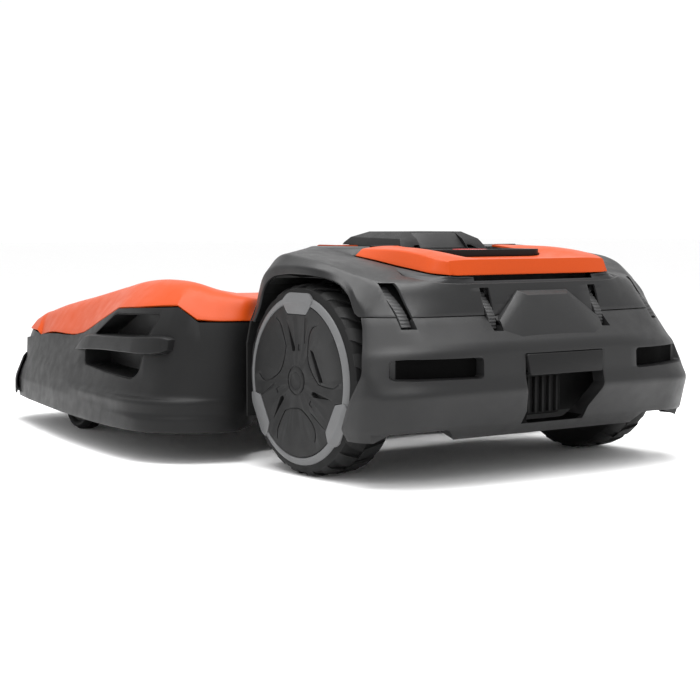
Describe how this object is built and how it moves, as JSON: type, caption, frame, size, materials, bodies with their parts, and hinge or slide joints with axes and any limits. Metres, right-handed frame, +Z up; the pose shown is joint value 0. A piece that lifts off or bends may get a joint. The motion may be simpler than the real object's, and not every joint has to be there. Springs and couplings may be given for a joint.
{
  "type": "robotic lawn mower",
  "caption": "Battery robotic lawn mower: a wheeled drive unit pushes a hinged cutting deck that rides on casters.",
  "frame": {"origin": "on the ground, midway along and midway across the machine", "axes": "+X forward towards the cutting deck, +Y left, +Z up"},
  "size_m": [1.536, 1.1, 0.4545],
  "materials": {
    "charcoal_casing": "satin fine grain",
    "soft_black": "matt",
    "orange_cover": "satin gloss",
    "tyre_rubber": "matt rubber",
    "ring_grey": "satin",
    "wheel_cover": "satin",
    "steel": "brushed",
    "aluminium": "satin",
    "motor_black": "satin",
    "battery_grey": "matt",
    "board_green": "matt",
    "signal_red": "gloss",
    "key_grey": "matt"
  },
  "bodies": {
    "drive_unit": {"chassis_tub": "soft_black", "upper_body": "charcoal_casing", "front_cover": "orange_cover", "rear_bumper": "charcoal_casing", "bumper_plate": "soft_black", "charging_socket": "soft_black", "console_housing": "soft_black", "console_panel": "charcoal_casing", "deck_hinge_bracket": "aluminium", "left_wheel_liner": "soft_black", "right_wheel_liner": "soft_black", "left_inner_strap": "tyre_rubber", "left_outer_strap": "tyre_rubber", "right_inner_strap": "tyre_rubber", "right_outer_strap": "tyre_rubber", "left_wheel_motor": "motor_black", "right_wheel_motor": "motor_black", "battery_pack": "battery_grey", "control_box": "board_green", "inner_lid": "soft_black"},
    "left_drive_wheel": {"left_tyre": "tyre_rubber", "left_wheel_rim": "motor_black", "left_wheel_ring": "ring_grey", "left_wheel_cover": "wheel_cover"},
    "right_drive_wheel": {"right_tyre": "tyre_rubber", "right_wheel_rim": "motor_black", "right_wheel_ring": "ring_grey", "right_wheel_cover": "wheel_cover"},
    "hatch": {"hatch_cover": "orange_cover"},
    "stop_key": {"stop_button": "signal_red"},
    "power_key": {"power_button": "key_grey"},
    "confirm_key": {"confirm_button": "key_grey"},
    "cutting_deck": {"deck_yoke": "aluminium", "left_deck_skirt": "charcoal_casing", "right_deck_skirt": "charcoal_casing", "deck_floor": "charcoal_casing", "deck_hood": "orange_cover", "nose_bumper": "soft_black", "left_deck_handle": "soft_black", "right_deck_handle": "soft_black"},
    "cutting_carriage": {"cutting_carrier": "aluminium", "left_disc_motor": "motor_black", "middle_disc_motor": "motor_black", "right_disc_motor": "motor_black"},
    "left_disc": {"left_cutting_disc": "soft_black"},
    "left_blade_body_1": {"left_blade_1": "steel"},
    "left_blade_body_2": {"left_blade_2": "steel"},
    "left_blade_body_3": {"left_blade_3": "steel"},
    "middle_disc": {"middle_cutting_disc": "soft_black"},
    "middle_blade_body_1": {"middle_blade_1": "steel"},
    "middle_blade_body_2": {"middle_blade_2": "steel"},
    "middle_blade_body_3": {"middle_blade_3": "steel"},
    "right_disc": {"right_cutting_disc": "soft_black"},
    "right_blade_body_1": {"right_blade_1": "steel"},
    "right_blade_body_2": {"right_blade_2": "steel"},
    "right_blade_body_3": {"right_blade_3": "steel"},
    "left_caster": {"left_caster_fork": "aluminium"},
    "left_caster_roller": {"left_caster_wheel": "tyre_rubber"},
    "right_caster": {"right_caster_fork": "aluminium"},
    "right_caster_roller": {"right_caster_wheel": "tyre_rubber"}
  },
  "joints": [
    {"name": "left_wheel_spin", "type": "hinge", "parent": "drive_unit", "child": "left_drive_wheel", "pos_m": [-0.457, 0.338, 0.18], "axis": [0, 1, 0], "continuous": true},
    {"name": "right_wheel_spin", "type": "hinge", "parent": "drive_unit", "child": "right_drive_wheel", "pos_m": [-0.457, -0.338, 0.18], "axis": [0, 1, 0], "continuous": true},
    {"name": "hatch_hinge", "type": "hinge", "parent": "drive_unit", "child": "hatch", "pos_m": [-0.4098, 0, 0.426], "axis": [0, 1, 0], "range_deg": [0, 75]},
    {"name": "stop_press", "type": "slide", "parent": "drive_unit", "child": "stop_key", "axis": [0, 0, -1], "range_m": [0, 0.004], "stiffness_N_per_m": 900, "springref_m": -0.002},
    {"name": "power_press", "type": "slide", "parent": "drive_unit", "child": "power_key", "axis": [0, 0, -1], "range_m": [0, 0.002], "stiffness_N_per_m": 500, "springref_m": -0.001},
    {"name": "confirm_press", "type": "slide", "parent": "drive_unit", "child": "confirm_key", "axis": [0, 0, -1], "range_m": [0, 0.002], "stiffness_N_per_m": 500, "springref_m": -0.001},
    {"name": "deck_lift", "type": "hinge", "parent": "drive_unit", "child": "cutting_deck", "pos_m": [-0.152, 0, 0.312], "axis": [0, -1, 0], "range_deg": [-3, 70]},
    {"name": "cutting_height", "type": "slide", "parent": "cutting_deck", "child": "cutting_carriage", "axis": [0, 0, 1], "range_m": [0, 0.045]},
    {"name": "left_disc_spin", "type": "hinge", "parent": "cutting_carriage", "child": "left_disc", "pos_m": [0.143, 0.322, 0.074], "axis": [0, 0, 1], "continuous": true},
    {"name": "left_blade_swing_1", "type": "hinge", "parent": "left_disc", "child": "left_blade_body_1", "pos_m": [0.25212, 0.385, 0.0695], "axis": [0, 0, 1], "continuous": true},
    {"name": "left_blade_swing_2", "type": "hinge", "parent": "left_disc", "child": "left_blade_body_2", "pos_m": [0.03388, 0.385, 0.0695], "axis": [0, 0, 1], "continuous": true},
    {"name": "left_blade_swing_3", "type": "hinge", "parent": "left_disc", "child": "left_blade_body_3", "pos_m": [0.143, 0.196, 0.0695], "axis": [0, 0, 1], "continuous": true},
    {"name": "middle_disc_spin", "type": "hinge", "parent": "cutting_carriage", "child": "middle_disc", "pos_m": [0.263, 0, 0.074], "axis": [0, 0, 1], "continuous": true},
    {"name": "middle_blade_swing_1", "type": "hinge", "parent": "middle_disc", "child": "middle_blade_body_1", "pos_m": [0.37212, 0.063, 0.0695], "axis": [0, 0, 1], "continuous": true},
    {"name": "middle_blade_swing_2", "type": "hinge", "parent": "middle_disc", "child": "middle_blade_body_2", "pos_m": [0.15388, 0.063, 0.0695], "axis": [0, 0, 1], "continuous": true},
    {"name": "middle_blade_swing_3", "type": "hinge", "parent": "middle_disc", "child": "middle_blade_body_3", "pos_m": [0.263, -0.126, 0.0695], "axis": [0, 0, 1], "continuous": true},
    {"name": "right_disc_spin", "type": "hinge", "parent": "cutting_carriage", "child": "right_disc", "pos_m": [0.143, -0.322, 0.074], "axis": [0, 0, 1], "continuous": true},
    {"name": "right_blade_swing_1", "type": "hinge", "parent": "right_disc", "child": "right_blade_body_1", "pos_m": [0.25212, -0.259, 0.0695], "axis": [0, 0, 1], "continuous": true},
    {"name": "right_blade_swing_2", "type": "hinge", "parent": "right_disc", "child": "right_blade_body_2", "pos_m": [0.03388, -0.259, 0.0695], "axis": [0, 0, 1], "continuous": true},
    {"name": "right_blade_swing_3", "type": "hinge", "parent": "right_disc", "child": "right_blade_body_3", "pos_m": [0.143, -0.448, 0.0695], "axis": [0, 0, 1], "continuous": true},
    {"name": "left_caster_swivel", "type": "hinge", "parent": "cutting_deck", "child": "left_caster", "pos_m": [0.468, 0.366, 0.155], "axis": [0, 0, 1], "continuous": true},
    {"name": "left_caster_spin", "type": "hinge", "parent": "left_caster", "child": "left_caster_roller", "pos_m": [0.44, 0.366, 0.065], "axis": [0, 1, 0], "continuous": true},
    {"name": "right_caster_swivel", "type": "hinge", "parent": "cutting_deck", "child": "right_caster", "pos_m": [0.468, -0.366, 0.155], "axis": [0, 0, 1], "continuous": true},
    {"name": "right_caster_spin", "type": "hinge", "parent": "right_caster", "child": "right_caster_roller", "pos_m": [0.44, -0.366, 0.065], "axis": [0, 1, 0], "continuous": true}
  ]
}
